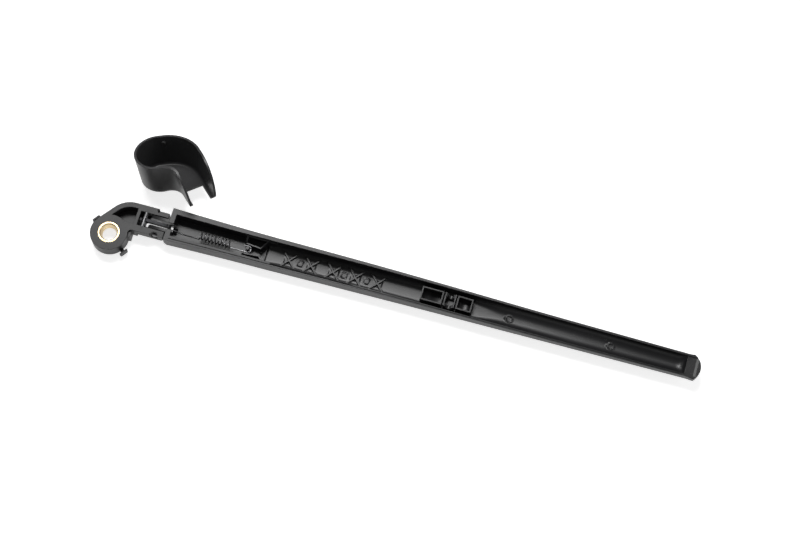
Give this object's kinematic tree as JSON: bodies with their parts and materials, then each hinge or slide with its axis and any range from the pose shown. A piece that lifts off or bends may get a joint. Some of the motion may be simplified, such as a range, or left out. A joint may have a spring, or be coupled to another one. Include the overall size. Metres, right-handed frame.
{
  "type": "rear wiper arm",
  "caption": "Rear wiper arm: moulded channel arm hinged on an offset mounting head with a brass spindle insert, pulled down by a spring and hook link, with its spindle cap off.",
  "frame": {"origin": "on the spindle axis, at the mouth of the nut's recess in the head's back face", "axes": "+X along the arm from the head to the tip, +Y across it towards the side that the head is set off to, +Z along the spindle towards the glass; the arm lies on its back as pictured"},
  "size_m": [0.397, 0.0847, 0.0338],
  "materials": {
    "black_plastic": "fine-grained moulded black, satin",
    "brass": "turned, slightly dull",
    "pin_steel": "drawn, dark",
    "link_steel": "stamped, satin",
    "spring_steel": "drawn wire, satin"
  },
  "bodies": {
    "head": {"mounting_head": "black_plastic", "spindle_insert": "brass", "near_hinge_pin": "pin_steel", "far_hinge_pin": "pin_steel", "anchor_pin": "pin_steel", "spindle_cap": "black_plastic"},
    "arm": {"arm_channel": "black_plastic"},
    "puller": {"hook_link": "link_steel", "tension_spring": "spring_steel"}
  },
  "joints": [
    {"name": "arm_hinge", "type": "hinge", "parent": "head", "child": "arm", "pos_m": [0.028, 0.0145, 0.0046], "axis": [0, 1, 0], "range_deg": [0, 40], "stiffness_Nm_per_rad": 0.4, "springref_deg": -17.19},
    {"name": "pull_pivot", "type": "hinge", "parent": "head", "child": "puller", "pos_m": [0.019, 0.0145, 0.0074], "axis": [0, 1, 0], "range_deg": [0, 35]}
  ],
  "couplings": [
    {"joint": "pull_pivot", "follows": "arm_hinge", "ratio": 0.866}
  ]
}
